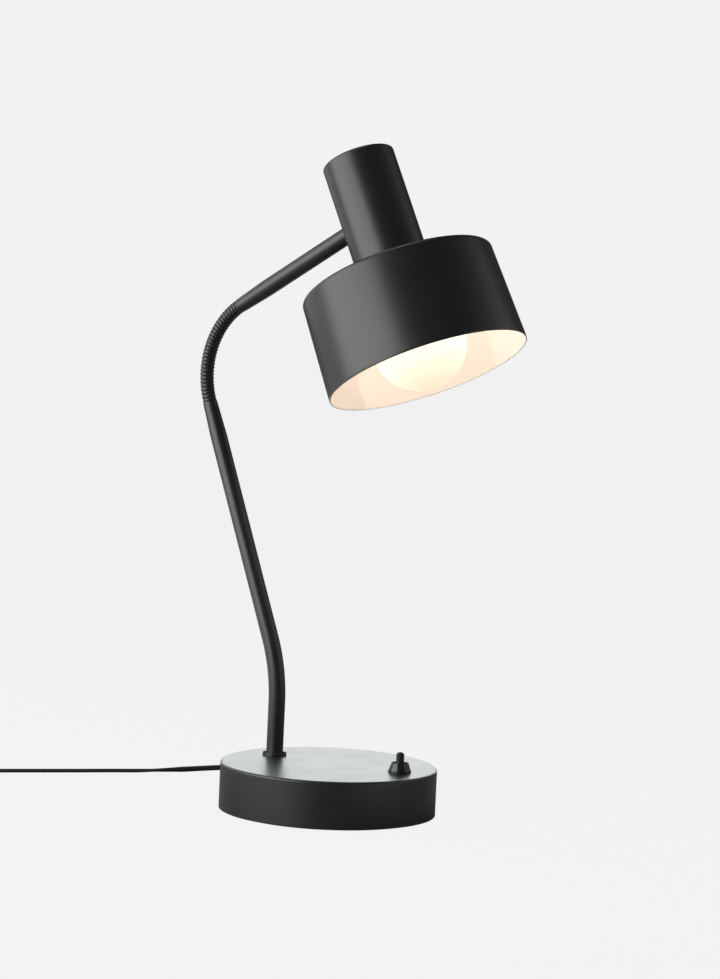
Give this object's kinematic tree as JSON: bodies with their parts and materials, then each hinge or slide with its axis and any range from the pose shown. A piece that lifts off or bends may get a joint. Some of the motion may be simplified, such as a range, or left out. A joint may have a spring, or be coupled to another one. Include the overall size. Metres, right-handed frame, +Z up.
{
  "type": "gooseneck desk lamp",
  "caption": "Desk lamp with a weighted round base, bent stem, ribbed flexible neck, straight arm and tilted open drum shade holding a screw bulb.",
  "frame": {"origin": "centre of the base on the table", "axes": "+Z up, +X in the plane of the stem and the arm, towards the shade, +Y to the left of someone looking along +X"},
  "size_m": [0.4324, 0.2998, 0.466],
  "materials": {
    "black_coat": "satin fine-grained black powder coat",
    "neck_black": "satin black ribbed metal hose",
    "cast_iron": "rough casting",
    "zinc_steel": "bright zinc",
    "pad_foam": "matte foam rubber",
    "black_plastic": "black moulded plastic",
    "switch_gloss": "glossy black moulded plastic",
    "brass": "stamped brass",
    "white_plastic": "white moulded plastic",
    "lead_sheath": "pale wire sheath",
    "cord_black": "black PVC twin cord",
    "cord_rubber": "soft black PVC moulding",
    "plug_nickel": "nickel plated pins",
    "bulb_glow": "frosted glass, lit",
    "clear_glass": "clear glass",
    "filament": "tungsten wire",
    "cap_metal": "pressed thin metal",
    "cap_insulator": "black glass insulator"
  },
  "bodies": {
    "base": {"base_cover": "black_coat", "base_weight": "cast_iron", "base_plate": "zinc_steel", "base_pad": "pad_foam", "base_screws": "zinc_steel", "stem_collar": "black_coat", "stem_tube": "black_coat", "stem_washer": "zinc_steel", "stem_nut": "zinc_steel", "stem_lead": "lead_sheath", "switch_body": "black_plastic", "switch_nut": "switch_gloss", "switch_spring": "zinc_steel", "switch_tabs": "brass", "switch_leads": "lead_sheath", "cord_bushing": "cord_rubber", "cord_clamp": "black_plastic", "clamp_screws": "zinc_steel", "terminal_block": "white_plastic", "base_lead": "cord_black", "neck_root": "neck_black", "cord": "cord_black", "cord_coil": "cord_black", "cord_tail": "cord_black", "cord_tie": "cord_rubber", "plug_body": "cord_rubber", "plug_pins": "plug_nickel"},
    "head": {"neck_tip": "neck_black", "arm_tube": "black_coat", "arm_nipple": "zinc_steel", "arm_saddle": "zinc_steel", "arm_nut": "zinc_steel", "arm_lead": "lead_sheath", "holder_bracket": "zinc_steel", "holder_cover": "black_coat", "shade": "black_coat", "holder_ring": "black_plastic", "holder_body": "black_plastic", "holder_shell": "brass", "holder_contact": "brass", "holder_nipple": "zinc_steel", "holder_nut": "zinc_steel"},
    "bulb": {"bulb_glass": "bulb_glow", "bulb_mount": "clear_glass", "bulb_filament": "filament", "bulb_cap": "cap_metal", "bulb_insulator": "cap_insulator", "bulb_tip": "cap_metal"},
    "button": {"switch_button": "switch_gloss"},
    "neck_1": {"neck_link_1": "neck_black"},
    "neck_2": {"neck_link_2": "neck_black"},
    "neck_3": {"neck_link_3": "neck_black"},
    "neck_4": {"neck_link_4": "neck_black"},
    "neck_5": {"neck_link_5": "neck_black"}
  },
  "joints": [
    {"name": "neck_bend_1", "type": "hinge", "parent": "base", "child": "neck_1", "pos_m": [-0.12476, 0, 0.28747], "axis": [0, 1, 0], "range_deg": [-15, 10]},
    {"name": "neck_swing_1", "type": "hinge", "parent": "neck_1", "child": "neck_2", "pos_m": [-0.12662, 0, 0.30104], "axis": [0.9999, 0, 0.0157], "range_deg": [-15, 15]},
    {"name": "neck_bend_2", "type": "hinge", "parent": "neck_2", "child": "neck_3", "pos_m": [-0.12519, 0, 0.31466], "axis": [0, 1, 0], "range_deg": [-15, 10]},
    {"name": "neck_swing_2", "type": "hinge", "parent": "neck_3", "child": "neck_4", "pos_m": [-0.12055, 0, 0.32755], "axis": [0.8934, 0, -0.4493], "range_deg": [-15, 15]},
    {"name": "neck_bend_3", "type": "hinge", "parent": "neck_4", "child": "neck_5", "pos_m": [-0.11297, 0, 0.33896], "axis": [0, 1, 0], "range_deg": [-15, 10]},
    {"name": "neck_swing_3", "type": "hinge", "parent": "neck_5", "child": "head", "pos_m": [-0.10289, 0, 0.34823], "axis": [0.5835, 0, -0.8121], "range_deg": [-15, 15]},
    {"name": "bulb_out", "type": "slide", "parent": "head", "child": "bulb", "axis": [0.4305, 0, -0.9026], "range_m": [0, 0.1]},
    {"name": "switch_press", "type": "slide", "parent": "base", "child": "button", "axis": [0, 0, -1], "range_m": [0, 0.003], "stiffness_N_per_m": 400, "springref_m": -0.001, "deforming": ["switch_spring"]}
  ],
  "couplings": [
    {"joint": "neck_bend_2", "follows": "neck_bend_1", "ratio": 1},
    {"joint": "neck_bend_3", "follows": "neck_bend_1", "ratio": 1},
    {"joint": "neck_swing_2", "follows": "neck_swing_1", "ratio": 1},
    {"joint": "neck_swing_3", "follows": "neck_swing_1", "ratio": 1}
  ]
}
